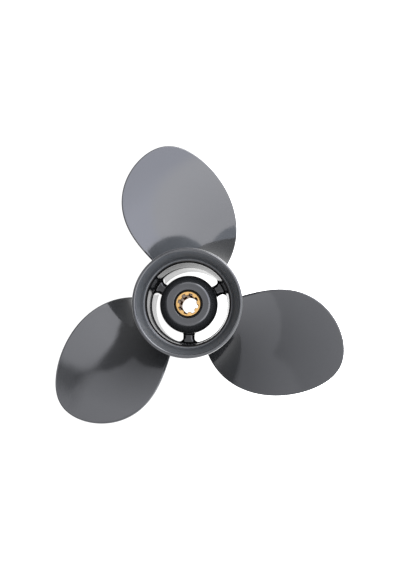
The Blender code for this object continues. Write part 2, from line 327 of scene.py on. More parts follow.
@dataclass(frozen=True)
class LightTable:
    """Opal acrylic photo table, lit from below until it burns out to pure white.

    Its glow is painted four times brighter towards +X: a painted pool of light from the soft box on
    the right, which the blades mirror from below. Only its upper side shows, so that a view from
    under the table still shows the propeller.
    """

    colour: str = "#5A5A5A"
    glow: float = 1.0
    painted_hot_side_glow: float = 4.0
    painted_hot_side_from: float = -0.02
    painted_hot_side_to: float = 0.10
    haze_mm: float = 40.0

    def make(self) -> Material:
        """Makes the table's surface.

        Returns:
            The material.
        """
        made, shader, place = new_material("opal_acrylic_light_table")
        add = partial(add_node, made.node_tree)
        haze = add("TexNoise", cells(place, self.haze_mm, Detail=2.0)).outputs["Fac"]
        across = add("SeparateXYZ", {0: place}).outputs["X"]
        rise = {"From Min": self.painted_hot_side_from, "From Max": self.painted_hot_side_to}
        rise |= {"To Min": self.glow, "To Max": self.painted_hot_side_glow}
        # Painted pool of light: the glow rises towards +X, where the right soft box would burn the
        # table out.
        painted_hot_side = add("MapRange", {"Value": across} | rise, interpolation_type="SMOOTHSTEP")
        rough = add("MapRange", {"Value": haze, "To Min": 0.8, "To Max": 0.9})
        feed(shader, {
            "Roughness": rough.outputs["Result"],
            "Base Color": linear(self.colour),
            "Specular IOR Level": 0.0,
            "Emission Color": WHITE,
            "Emission Strength": painted_hot_side.outputs["Result"],
        })
        below = add("NewGeometry").outputs["Backfacing"]
        clear = add("BsdfTransparent").outputs["BSDF"]
        shown = add("MixShader", {0: below, 1: shader.outputs["BSDF"], 2: clear})
        feed(made.node_tree.nodes["Material Output"], {"Surface": shown.outputs["Shader"]})
        return made


# Meshes from whole arrays


def in_scene(name: str, data: Mesh | Camera) -> Object:
    """Makes an object from its data and links it to the scene.

    Args:
        name: its name.
        data: its mesh or camera.

    Returns:
        The object, at the origin.
    """
    thing = bpy.data.objects.new(name, data)
    bpy.context.scene.collection.objects.link(thing)
    return thing


def grid_quads(
    rows: int, columns: int, wrap_rows: bool = False, wrap_columns: bool = False
) -> Array:
    """Numbers the corners of a grid's quads, the grid counted row by row.

    Args:
        rows: number of rows of points.
        columns: number of points in a row.
        wrap_rows: joins the last row to the first.
        wrap_columns: joins each row's last point to its first.

    Returns:
        One row of four point numbers for each quad.
    """
    i = np.arange(rows if wrap_rows else rows - 1)[:, None]
    j = np.arange(columns if wrap_columns else columns - 1)[None, :]
    down, right = (i + 1) % rows, (j + 1) % columns
    corners = np.broadcast_arrays(
        i * columns + j, i * columns + right, down * columns + right, down * columns + j
    )
    return np.stack(corners, axis=-1).reshape(-1, 4)


def build_piece(
    name: str, patches: list[tuple], finish: Material, nodes: tuple[str, ...]
) -> Object:
    """Makes a piece of patches and gives it its finish and its place in the frame.

    The patches are merged where they meet, and the faces turned outwards. The piece is smooth but
    for its real corners.

    Args:
        name: its name.
        patches: for each, an array whose last axis is x, y, z, and its faces' point numbers.
        finish: its material.
        nodes: CAD nodes that it stands for.

    Returns:
        The piece.
    """
    points = [part.reshape(-1, 3) for part, _ in patches]
    starts = np.cumsum([0] + [len(part) for part in points])
    faces = [(np.asarray(part) + start).tolist() for start, (_, part) in zip(starts, patches)]
    mesh = bpy.data.meshes.new(name)
    mesh.from_pydata(np.concatenate(points).tolist(), [], list(chain(*faces)))
    shape = bmesh.new()
    shape.from_mesh(mesh)
    bmesh.ops.remove_doubles(shape, verts=shape.verts, dist=MERGE_DISTANCE)
    bmesh.ops.dissolve_degenerate(shape, edges=shape.edges, dist=MERGE_DISTANCE)
    bmesh.ops.recalc_face_normals(shape, faces=shape.faces)
    open_edges = sum(1 for edge in shape.edges if len(edge.link_faces) != 2)
    shape.to_mesh(mesh)
    shape.free()
    mesh.shade_smooth()
    mesh.set_sharp_from_angle(angle=SHARP_ANGLE)
    LOG.info("%s: %d faces, %d edges not shared by two", name, len(mesh.polygons), open_edges)
    thing = in_scene(name, mesh)
    mesh.materials.append(finish)
    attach(thing, "root")
    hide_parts(*nodes)
    return thing


def unit(angle: Array | float) -> Array:
    """Unit directions x, y at these angles in radians."""
    return np.stack([np.cos(angle), np.sin(angle)], axis=-1)


def round_axis(radius: Array | float, turn: Array, height: Array | float) -> Array:
    """Points x, y, z at these radii from the shaft axis, turns in radians and heights."""
    across, along = radius * np.cos(turn), radius * np.sin(turn)
    return np.stack(np.broadcast_arrays(across, along, height), axis=-1)


def ellipse_arc(centre: Point, radii: float | Point, start: float, end: float, steps: int) -> Array:
    """Points of an ellipse's arc: centre plus radii times cosine and sine of angles in degrees."""
    angles = np.radians(np.linspace(start, end, steps + 1))
    return np.array(centre) + np.array(radii) * unit(angles)


def round_corner(corner: Point, size: float, start: float, steps: int) -> Array:
    """A quarter circle that rounds off a square corner, clockwise from an angle in degrees."""
    outward = np.sign(unit(math.radians(start - 45)))
    return ellipse_arc(corner - size * outward, size, start, start - 90, steps)


def straight_line(start: Point, end: Point, steps: int) -> Array:
    """Points inside a straight line, its two ends left out, as rows of radius and height."""
    return np.linspace(start, end, steps + 1)[1:-1]


def bent_line(start: Point, corner: Point, end: Point, steps: int) -> Array:
    """A bend that leaves its start and reaches its end along the lines to the corner.

    Its points are the start, the corner and the end, mixed by a quadratic in the part travelled.

    Args:
        start: radius and height where it starts.
        corner: radius and height where the two lines cross.
        end: radius and height where it ends.
        steps: number of steps.

    Returns:
        Rows of radius and height.
    """
    part = np.linspace(0, 1, steps + 1)[:, None]
    start, corner, end = np.array([start, corner, end])
    return (1 - part) ** 2 * start + 2 * part * (1 - part) * corner + part**2 * end


def power_curve(start: Point, end: Point, end_slope: float, steps: int) -> Array:
    """A flare that leaves its start along the axis: radius grows with a power of the height.

    The power is chosen so that the curve reaches its end with the given slope.

    Args:
        start: radius and height where it is parallel to the axis.
        end: radius and height at its wide end.
        end_slope: radius gained for each height gained, at the wide end.
        steps: number of steps.

    Returns:
        Rows of radius and height, from start to end.
    """
    rise = np.linspace(0, 1, steps + 1)
    wider, higher = end[0] - start[0], end[1] - start[1]
    power = end_slope * higher / wider
    return np.stack([start[0] + wider * rise**power, start[1] + higher * rise], axis=-1)


def rolling_ball(distance: Array, size: float) -> Array:
    """Height of a quarter-round fillet at a distance from its wall: none from its size on."""
    reach = np.clip(distance, 0, size)
    return size - np.sqrt(size**2 - (size - reach) ** 2)


def spun(points: Array, angle: float) -> Array:
    """Points with x, y on their last axis turned about the origin by an angle in radians."""
    cosine, sine = math.cos(angle), math.sin(angle)
    return points @ np.array([[cosine, sine], [-sine, cosine]])


@dataclass
class Turned:
    """A piece turned about the shaft axis from the section that its class describes.

    A point is the section's radius times the cosine and sine of the turn, at the section's height.
    """

    name: str
    slot: Slot
    nodes: tuple[str, ...]
    steps: int

    def profile(self) -> Array:
        """Rows of radius and height, once round the section."""
        raise NotImplementedError

    def build(self, finish: Material) -> Object:
        """Builds and dresses the piece.

        Args:
            finish: its material.

        Returns:
            The piece.
        """
        profile = self.profile()
        turn = np.linspace(0, FULL_TURN, self.steps, endpoint=False)[:, None]
        points = round_axis(profile[:, 0], turn, profile[:, 1])
        patches = [(points, grid_quads(self.steps, len(profile), True, True))]
        return build_piece(self.name, patches, finish, self.nodes)


def face_centres(thing: Object) -> tuple[Array, Array]:
    """Finds where the faces of a piece lie.

    Args:
        thing: the piece.

    Returns:
        For the centre of each face, its distance from the shaft axis and its height.
    """
    centres = np.empty(3 * len(thing.data.polygons))
    thing.data.polygons.foreach_get("center", centres)
    across, along, height = centres.reshape(-1, 3).T
    return np.hypot(across, along), height


def paint_faces(thing: Object, finishes: tuple[Material, ...], numbers: Array) -> None:
    """Gives a piece further finishes, and each face one of them.

    Args:
        thing: the piece, whose own finish is number 0.
        finishes: the further ones, from number 1.
        numbers: for each face, the number of its finish.
    """
    for finish in finishes:
        thing.data.materials.append(finish)
    thing.data.polygons.foreach_set("material_index", numbers.astype(np.int32))


# The casting


@dataclass
class HubShell(Turned):
    """The outer tube of the hub with its flared outlet ring.

    The ribs' piece carries the walls of the passages, so this shell's inside starts again above
    them and below them. The ring looks uneven in the photo, so its wall is shifted sideways at its
    lower end, and the shift dies out towards the throat. What made it uneven isn't known.
    """

    name: str = "hub_shell"
    slot: Slot = Slot.PAINT
    nodes: tuple[str, ...] = ("hub_barrel", "diffuser_ring")
    steps: int = 288
    barrel_radius: float = 0.0325
    passage_radius: float = 0.0282
    front_round: float = 0.0010
    passage_start: float = 0.01175
    hidden_radius: float = 0.0298
    hidden_slope: float = 0.001
    ring_wall_radius: float = 0.0279
    ring_wall_start: float = 0.0520
    throat_radius: float = 0.0289
    throat_start: float = 0.0735
    core_shift: float = 0.00057
    core_shift_degrees: float = 220.0
    shelf: Point = (0.0307, 0.0785)
    flare_start: Point = (0.0319, 0.0812)
    crest_radius: float = 0.03695
    crest_round: float = 0.00145
    height: float = 0.08999
    inner_slope_degrees: float = 41.0
    outer_slope_degrees: float = 34.0
    trumpet_start: float = 0.0660

    def crest(self) -> Array:
        """The rounded crest, from the flare's end over the top to the trumpet's end."""
        centre = (self.crest_radius, self.height - self.crest_round)
        first, last = 180 - self.inner_slope_degrees, -self.outer_slope_degrees
        return ellipse_arc(centre, self.crest_round, first, last, steps=28)

    def profile(self) -> Array:
        """Once round the section, from the front edge up the inside and down the outside.

        Returns:
            Rows of radius and height.
        """
        inner_slope = math.tan(math.radians(self.inner_slope_degrees))
        outer_slope = math.tan(math.radians(self.outer_slope_degrees))
        shelf, flare_start, barrel = self.shelf, self.flare_start, self.barrel_radius
        passage_end = (self.passage_radius, self.passage_start)
        ring_end = (self.ring_wall_radius, self.ring_wall_start)
        hidden = [
            passage_end,
            (self.hidden_radius, self.passage_start + self.hidden_slope),
            (self.hidden_radius, self.ring_wall_start - self.hidden_slope),
            ring_end,
        ]
        front = round_corner((self.passage_radius, 0.0), self.front_round / 2, 270, steps=4)
        radii = (shelf[0] - self.throat_radius, shelf[1] - self.throat_start)
        throat = ellipse_arc((shelf[0], self.throat_start), radii, 180, 90, steps=12)
        radii = (flare_start[0] - shelf[0], flare_start[1] - shelf[1])
        corner = ellipse_arc((shelf[0], flare_start[1]), radii, -90, 0, steps=10)
        crest = self.crest()
        flare = power_curve(flare_start, crest[0], inner_slope, steps=20)
        trumpet = power_curve((barrel, self.trumpet_start), crest[-1], outer_slope, steps=28)
        return np.concatenate([
            front,
            straight_line(front[-1], passage_end, steps=12),
            hidden,
            straight_line(ring_end, throat[0], steps=24),
            throat,
            corner[1:],
            flare[1:],
            crest[1:],
            trumpet[::-1][1:],
            round_corner((barrel, 0.0), self.front_round, 0, steps=6),
        ])

    def shift_core(self, mesh: Mesh) -> None:
        """Shifts the ring's wall sideways: in full at its lower end, not at all at the throat.

        Args:
            mesh: mesh of the shell.
        """
        points = np.empty(3 * len(mesh.vertices))
        mesh.vertices.foreach_get("co", points)
        points = points.reshape(-1, 3)
        height = points[:, 2]
        rise = (self.throat_start - height) / (self.throat_start - self.ring_wall_start)
        inner = np.hypot(points[:, 0], points[:, 1]) < self.hidden_radius + MERGE_DISTANCE
        ring = inner & (height > self.ring_wall_start - 2 * self.hidden_slope)
        share = np.where(ring, np.clip(rise, 0, 1), 0)
        way = unit(math.radians(self.core_shift_degrees))
        points[:, :2] += self.core_shift * share[:, None] * way
        mesh.vertices.foreach_set("co", points.ravel())

    def build(self, finish: Material, *inside: Material) -> Object:
        """Builds and dresses the shell.

        Args:
            finish: finish of the casting.
            inside: finishes of the walls below the throat, of the flare, paler for painted light,
                and
            of the throat's edge, nearly black for painted shade.

        Returns:
            The piece.
        """
        thing = super().build(finish)
        self.shift_core(thing.data)
        radius, height = face_centres(thing)
        wall = (radius < self.throat_radius) & (height < self.throat_start)
        outlet = ~wall & (radius < self.crest()[0, 0]) & (height > self.throat_start)
        edge = outlet & (radius <= self.shelf[0])
        # The flare's faces take the paler paint, painted light; the throat's edge takes the nearly
        # black one, painted shade.
        paint_faces(thing, inside, wall + 2 * outlet + edge)
        return thing


@dataclass
class InnerHub(Turned):
    """The round core, whose lip closes over the rubber bush.

    Its flat aft face turns through a small round into a long shoulder, and below that the casting's
    draft narrows it towards the front.
    """

    name: str = "inner_hub_core"
    slot: Slot = Slot.PAINT
    nodes: tuple[str, ...] = ("inner_hub",)
    steps: int = 240
    start: float = 0.008
    end: float = 0.074
    radius: float = 0.0208
    front_radius: float = 0.0196
    face_radius: float = 0.0141
    edge_round: float = 0.0030
    edge_tilt_degrees: float = 48.0
    shoulder_end: float = 0.062
    bore_radius: float = 0.0155
    lip_radius: float = 0.0101
    lip_thickness: float = 0.004
    lip_round: float = 0.0004
    front_round: float = 0.0014

    def profile(self) -> Array:
        """Once round the section, from the lip over the shoulder down the outside and up the bore.

        Returns:
            Rows of radius and height.
        """
        centre = (self.face_radius, self.end - self.edge_round)
        tilt = self.edge_tilt_degrees
        edge = ellipse_arc(centre, self.edge_round, 90, 90 - tilt, steps=10)
        drop = (self.radius - edge[-1, 0]) * math.tan(math.radians(tilt))
        corner = (self.radius, edge[-1, 1] - drop)
        shoulder = bent_line(edge[-1], corner, (self.radius, self.shoulder_end), steps=36)
        outside = round_corner((self.front_radius, self.start), self.front_round, 0, steps=6)
        lip_foot = self.end - self.lip_thickness
        return np.concatenate([
            round_corner((self.lip_radius, self.end), self.lip_round, 180, steps=6),
            edge,
            shoulder[1:],
            straight_line(shoulder[-1], outside[0], steps=24),
            outside,
            round_corner((self.bore_radius, self.start), self.front_round, 270, steps=6),
            [(self.bore_radius, lip_foot), (self.lip_radius, lip_foot)],
        ])


@dataclass
class RibsAndPassages:
    """The three ribs and the outer walls of the exhaust passages between them.

    Seen along the axis each passage is a curved slot with rounded corners. The metal round it goes
    by the distance from the slot's border: a drafted wall at none, a rounded edge, and a flat face
    that fillets lift where it meets the core and the ring.
    """

    core_radius: float = 0.02056
    passage_radius: float = 0.0274
    ring_wall_radius: float = 0.0279
    half_width: float = 0.0042
    core_corner: float = 0.0020
    wall_corner: float = 0.0028
    first_rib_degrees: float = 28.6
    count: int = 3
    front: float = 0.012
    aft: float = 0.051
    rib_edge: float = 0.0029
    wall_edge: float = 0.0006
    rib_draft: float = 0.052
    wall_draft: float = 0.020
    fillet: float = 0.0015
    inner_end: float = 0.0176
    outer_end: float = 0.0299
    corner_steps: int = 10
    flank_steps: int = 5
    wall_steps: int = 60
    edge_steps: int = 8
    face_steps: int = 10
    wall_support: float = 0.0003
    wall_rows: Point = (0.35, 0.65)

    def corner_centre(self, reach: float, size: float) -> Array:
        """Centre of a slot's corner beside a rib along +X, at a reach from the shaft axis."""
        across = self.half_width + size
        return np.array([math.sqrt(reach**2 - across**2), across])

    def rib_rays(self) -> tuple[Array, Array, Array]:
        """Rays into the metal from the slot's border, past one flank of the rib along +X.

        They run from the core round the inner corner, along the flank and round the outer corner to
        the passage's outer wall. Each starts at a corner's centre, or on the flank.

        Returns:
            Centres that the rays start from, their distance to the border, and unit directions.
        """
        core = self.corner_centre(self.core_radius + self.core_corner, self.core_corner)
        wall = self.corner_centre(self.passage_radius - self.wall_corner, self.wall_corner)
        down = 3 * QUARTER_TURN
        at_core = FULL_TURN + math.atan2(-core[1], self.inner_end - core[0])
        at_ring = FULL_TURN + math.atan2(-wall[1], self.outer_end - wall[0])
        steps, between = self.corner_steps, self.flank_steps - 1
        angles = np.concatenate([
            np.linspace(math.pi + math.atan2(core[1], core[0]), at_core, steps)[:-1],
            np.linspace(at_core, down, steps),
            np.full(between, down),
            np.linspace(down, at_ring, steps)[:-1],
            np.linspace(at_ring, FULL_TURN + math.atan2(wall[1], wall[0]), steps),
        ])
        around = 2 * steps - 1
        ends = [core[0], self.half_width], [wall[0], self.half_width]
        flank = np.linspace(*ends, self.flank_steps + 1)[1:-1]
        centres = np.concatenate([np.tile(core, (around, 1)), flank, np.tile(wall, (around, 1))])
        sizes = np.repeat([self.core_corner, 0.0, self.wall_corner], [around, between, around])
        return centres, sizes, unit(angles)

    def rib_border(self) -> tuple[Array, Array, Array, Array]:
        """The slot's border past one flank of the rib along +X.

        Each ray stops at the core's inside, at the rib's middle plane or in the ring's metal.

        Returns:
            Border points, unit directions, reach from the border, and whether the ray ends in metal
            that isn't the rib's middle plane.
        """
        centres, sizes, ways = self.rib_rays()
        along = np.sum(ways * centres, axis=1)
        off = np.sum(centres * centres, axis=1)
        room = along**2 - off + self.inner_end**2
        meets_core = (room >= 0) & (along < 0)
        to_core = np.where(meets_core, -along - np.sqrt(np.clip(room, 0, None)), np.inf)
        to_ring = -along + np.sqrt(along**2 - off + self.outer_end**2)
        to_middle = -centres[:, 1] / np.minimum(ways[:, 1], -MERGE_DISTANCE)
        to_metal = np.minimum(to_core, to_ring)
        reach = np.minimum(to_metal, to_middle) - sizes
        in_metal = to_metal <= to_middle + MERGE_DISTANCE
        return centres + sizes[:, None] * ways, ways, reach, in_metal

    def section(self, border: Array, ways: Array, reach: Array, share: Array) -> Array:
        """Carries the section along the slot's border.

        Args:
            border: points x, y of the border, at the aft face.
            ways: unit directions away from the slot.
            reach: how far the metal goes along them.
            share: how much a place belongs to a rib's flank, from 0 to 1.

        Returns:
            Grid of points: one row for each border point, from the front face's far end round the
            wall to the aft face's far end.
        """
        tall = self.aft - self.front
        edge = (self.wall_edge + (self.rib_edge - self.wall_edge) * share)[:, None]
        draft = (self.wall_draft + (self.rib_draft - self.wall_draft) * share)[:, None]
        shift, depth = draft * tall, self.wall_draft * tall
        curve = 1 - np.cos(np.linspace(0, QUARTER_TURN, self.edge_steps + 1))
        flat = np.linspace(0, 1, self.face_steps + 1)[1:]

        def face(room: Array, moved: Array | float, deeper: float, outer: float) -> Array:
            """Points x, y of a face and, as z, how far they lie behind its flat part.

            Args:
                room: how far the face goes from its border.
                moved: how far its border is from the aft one.
                deeper: how much the core's draft widens it.
                outer: radius of the wall that its outer fillet meets.

            Returns:
                Grid of points: close together on the rounded edge, then even.
            """
            rest = edge + np.clip(room - edge, 0, None) * flat
            out = np.minimum(np.concatenate([edge * curve, rest], axis=1), room)
            plan = border[:, None, :] + (out + moved)[..., None] * ways[:, None, :]
            radius = np.hypot(plan[..., 0], plan[..., 1])
            drop = edge - np.sqrt(edge**2 - (edge - np.minimum(out, edge)) ** 2)
            fillets = rolling_ball(radius - self.core_radius + deeper, self.fillet)
            fillets = fillets + rolling_ball(outer - radius, self.fillet)
            return np.concatenate([plan, (drop - fillets)[..., None]], axis=-1)

        reach = reach[:, None]
        aft = face(reach, 0.0, 0.0, self.ring_wall_radius) * [1, 1, -1] + [0, 0, self.aft]
        room = np.clip(reach - shift, MERGE_DISTANCE, None)
        front = face(room, shift, depth, self.passage_radius + depth) + [0, 0, self.front]
        near = self.wall_support / tall
        rows = np.array([near, 2 * near, *self.wall_rows, 1 - 2 * near, 1 - near])[None, :, None]
        wall = front[:, :1] + (aft[:, :1] - front[:, :1]) * rows
        return np.concatenate([front[:, ::-1], wall, aft], axis=1)

    def passage(self) -> tuple[Array, Array]:
        """The metal round one passage, from the rib along +X to the next one.

        Returns:
            Grid of points, and for each row whether its section is closed on itself.
        """
        border, ways, reach, closed = self.rib_border()
        share = np.clip(-ways[:, 1], 0, 1) ** 2
        span = FULL_TURN / self.count
        lean = math.atan2(border[-1, 1], border[-1, 0])
        angles = np.linspace(lean, span - lean, self.wall_steps)[1:-1]
        out = unit(angles)
        room = np.full(len(angles), self.outer_end - self.passage_radius)
        whole = np.ones(len(angles), bool)
        flip = np.array([1, -1])
        far_border, far_ways = (spun(part * flip, span)[::-1] for part in (border, ways))
        border = np.concatenate([border, self.passage_radius * out, far_border])
        ways = np.concatenate([ways, out, far_ways])
        reach = np.concatenate([reach, room, reach[::-1]])
        share = np.concatenate([share, 0 * room, share[::-1]])
        closed = np.concatenate([closed, whole, closed[::-1]])
        return self.section(border, ways, reach, share), closed

    def build(self, dark: Material, thin: Material) -> Object:
        """Builds and dresses the ribs.

        Args:
            dark: finish of the ribs, a nearly black copy of the paint: painted shade.
            thin: finish of the passages' outer walls.

        Returns:
            The piece.
        """
        points, closed = self.passage()
        rows, columns = points.shape[:2]
        row = np.arange(rows - 1)[closed[:-1] & closed[1:]] * columns
        back = np.stack([row, row + columns - 1, row + 2 * columns - 1, row + columns], axis=-1)
        quads = np.concatenate([grid_quads(rows, columns), back])
        end = [list(range(columns))]
        patches = []
        for number in range(self.count):
            angle = math.radians(self.first_rib_degrees) + number * FULL_TURN / self.count
            turned = points.copy()
            turned[..., :2] = spun(points[..., :2], angle)
            patches += [(turned, quads), (turned[0], end), (turned[-1], end)]
        nodes = ("rib_1", "rib_2", "rib_3")
        # The ribs take the nearly black copy of the paint: painted shade.
        thing = build_piece("ribs_and_passages", patches, dark, nodes)
        radius, height = face_centres(thing)
        wall = radius > self.passage_radius - MERGE_DISTANCE
        paint_faces(thing, (thin,), wall & (height < self.aft - self.wall_edge))
        return thing


@dataclass
class Blade:
    """A swept blade: closed sections lofted from the barrel to the tip.

    A point of the middle surface is given by its radius and its angle about the shaft. The blade
    covers the angles within half_angle of middle_angle, and its height is a screw surface that is
    raked aft. The aft face stays close to it, and the front face carries the thickness.
    """

    place: BladePlace
    tip_radius: float = 0.1175
    tip_fraction: float = 0.9985
    root_radius: float = 0.0325
    root_sink: float = 0.97
    sweep_from: float = 0.7
    sweep_degrees: tuple[float, float, float, float] = (-1.4, 17.1, -22.8, -44.0)
    width_from: float = 0.587
    width_square_degrees: float = 2872.0
    width_fall_degrees: float = 7266.0
    mid_height: float = 0.0525
    mid_radius: float = 0.0725
    span_unit: float = 0.0414
    pitch: float = 0.0295
    pitch_loss: float = 0.0006
    rake_rise: float = 0.0081
    rake_bend: float = 0.0034
    edge_half: float = 0.0009
    edge_limit: float = 0.6
    crowding: float = 0.35
    root_half: float = 0.0042
    aft_share: float = 0.15
    fillet: float = 0.0045
    probe: float = 1e-5
    edge_steps: int = 8
    body_steps: int = 24
    fillet_steps: int = 12
    span_steps: int = 110

    def middle_angle(self, fraction: Array) -> Array:
        """Angle of the swept middle line: a cubic in the fraction of the tip radius."""
        out = fraction - self.sweep_from
        none, once, twice, thrice = self.sweep_degrees
        return np.radians(none + once * out + twice * out**2 + thrice * out**3)

    def half_angle_squared(self, fraction: Array) -> Array:
        """Square of half the angle covered: a parabola that closes at the tip."""
        closing = 1 - fraction / self.tip_fraction
        fall = self.width_fall_degrees * (fraction - self.width_from) ** 2
        return closing * (self.width_square_degrees - fall) * math.radians(1) ** 2

    def height(self, radius: Array, angle: Array) -> Array:
        """Height of the middle surface: pitch times angle, plus a rake quadratic in the radius."""
        span = (radius - self.mid_radius) / self.span_unit
        pitch = self.pitch - self.pitch_loss * span
        return self.mid_height + pitch * angle + self.rake_rise * span - self.rake_bend * span**2

    def rim_distance(self, radius: Array, angle: Array) -> Array:
        """Distance to the blade's outline, close to it.

        The outline is where the squared half angle less the squared angle from the middle line is
        nothing. Dividing that by the length of its gradient gives the distance.

        Args:
            radius: distance from the shaft axis.
            angle: angle about the shaft in radians.

        Returns:
            Distance inside the outline in metres.
        """

        def inside(at_radius: Array, at_angle: Array) -> Array:
            """Positive inside the outline."""
            fraction = at_radius / self.tip_radius
            return self.half_angle_squared(fraction) - (at_angle - self.middle_angle(fraction)) ** 2

        value = inside(radius, angle)
        outward = (inside(radius + self.probe, angle) - value) / self.probe
        around = (inside(radius, angle + self.probe) - value) / self.probe
        return value / np.hypot(outward, around / np.hypot(radius, self.pitch))

    def radii(self) -> Array:
        """Chooses where the blade is cut into sections.

        Returns:
            Radii of the sections, close together in the root fillet and at the tip.
        """
        bend = np.linspace(0, QUARTER_TURN, self.fillet_steps + 1)
        root = self.root_radius + self.fillet * (1 - np.cos(bend))
        rest = np.linspace(0, QUARTER_TURN, self.span_steps + 1)[1:]
        tip = self.tip_fraction * self.tip_radius
        return np.concatenate([root, root[-1] + (tip - root[-1]) * np.sin(rest)])

    def face_points(self, radius: Array) -> Array:
        """Place along the chord from -1, leading, to 1, trailing: close together in the edges.

        Args:
            radius: radii of the sections, as a column.

        Returns:
            One row of places for each section.
        """
        square = self.half_angle_squared(radius / self.tip_radius)
        half_chord = np.sqrt(np.clip(square, TINY_SQUARE, None)) * np.hypot(radius, self.pitch)
        cap = np.minimum(self.edge_half, self.edge_limit * half_chord) / half_chord
        bend = np.linspace(0, QUARTER_TURN, self.edge_steps + 1)[None, :]
        body = np.linspace(0, 1, self.body_steps + 1)[None, 1:]
        even = self.crowding * body**2 + (1 - self.crowding) * body
        left = np.concatenate([cap * (1 - np.cos(bend)), cap + (1 - cap) * even], axis=1) - 1
        return np.concatenate([left, -left[:, -2::-1]], axis=1)

    def sections(self) -> Array:
        """Points of all sections, each once round from the leading edge over the aft face.

        The faces lie along the normal of the screw surface in the unrolled cylinder. The root
        fillet pushes the whole section outwards, also round its two edges.

        Returns:
            Grid of points, one row for each section.
        """
        radius = self.radii()[:, None]
        fraction = radius / self.tip_radius
        chord = self.face_points(radius)
        half = np.sqrt(np.clip(self.half_angle_squared(fraction), 0, None))
        angle = self.middle_angle(fraction) + half * chord
        edge_cosine = 1 - np.clip(self.rim_distance(radius, angle) / self.edge_half, 0, 1)
        edge_sine = np.sqrt(1 - edge_cosine**2)
        fullness = (1 - fraction) / (1 - self.root_radius / self.tip_radius)
        bulge = 2 * (self.root_half - self.edge_half) * fullness * (1 - chord**2) * edge_sine
        push = rolling_ball(radius - self.root_radius, self.fillet)
        along = np.sign(chord) * push * edge_cosine
        length = np.hypot(radius, self.pitch)
        faces = []
        for side, share in ((1, self.aft_share), (-1, 1 - self.aft_share)):
            offset = side * (self.edge_half * edge_sine + share * bulge + push * edge_sine)
            height = self.height(radius, angle) + (offset * radius + along * self.pitch) / length
            turned = angle + (along * radius - offset * self.pitch) / (length * radius)
            turned = turned + math.radians(self.place.value[1])
            faces.append(round_axis(radius, turned, height))
        return np.concatenate([faces[0], faces[1][:, -2:0:-1]], axis=1)

    def build(self, paint: Material) -> Object:
        """Builds and dresses the blade.

        Args:
            paint: finish of the casting.

        Returns:
            The piece.
        """
        sections = self.sections()
        sunk = sections[:1] * np.array([self.root_sink, self.root_sink, 1.0])
        points = np.concatenate([sunk, sections])
        rows, columns = points.shape[:2]
        aft = np.arange(columns // 2 + 1)
        front = -aft % columns
        cap = np.stack([sunk[0, aft], sunk[0, front]])
        patches = [(points, grid_quads(rows, columns, wrap_columns=True))]
        patches += [(cap, grid_quads(2, len(aft)))]
        name = f"blade_{self.place.name.lower()}"
        return build_piece(name, patches, paint, (self.place.value[0],))


# Inside the hub


@dataclass
class DriveBush(Turned):
    """The rubber between sleeve and core, with a thin neck that shows round the sleeve."""

    name: str = "drive_bush"
    slot: Slot = Slot.RUBBER
    nodes: tuple[str, ...] = ("rubber_bush",)
    steps: int = 144
    start: float = 0.012
    shoulder: float = 0.0697
    neck_top: float = 0.0714
    inside: float = 0.00882
    outside: float = 0.01548
    neck: float = 0.01008
    round_over: float = 0.0005
    dish: float = 0.0012

    def profile(self) -> Array:
        """Once round the section: neck, shoulder, outside, dished front face and bore.

        Returns:
            Rows of radius and height.
        """
        size = self.round_over
        middle = ((self.inside + self.outside) / 2, self.start)
        radii = ((self.outside - self.inside) / 2, self.dish)
        return np.concatenate([
            round_corner((self.neck, self.neck_top), size, 90, steps=5),
            [(self.neck, self.shoulder)],
            round_corner((self.outside, self.shoulder), size, 90, steps=5),
            ellipse_arc(middle, radii, 0, 180, steps=16),
            round_corner((self.inside, self.neck_top), size, 180, steps=5),
        ])


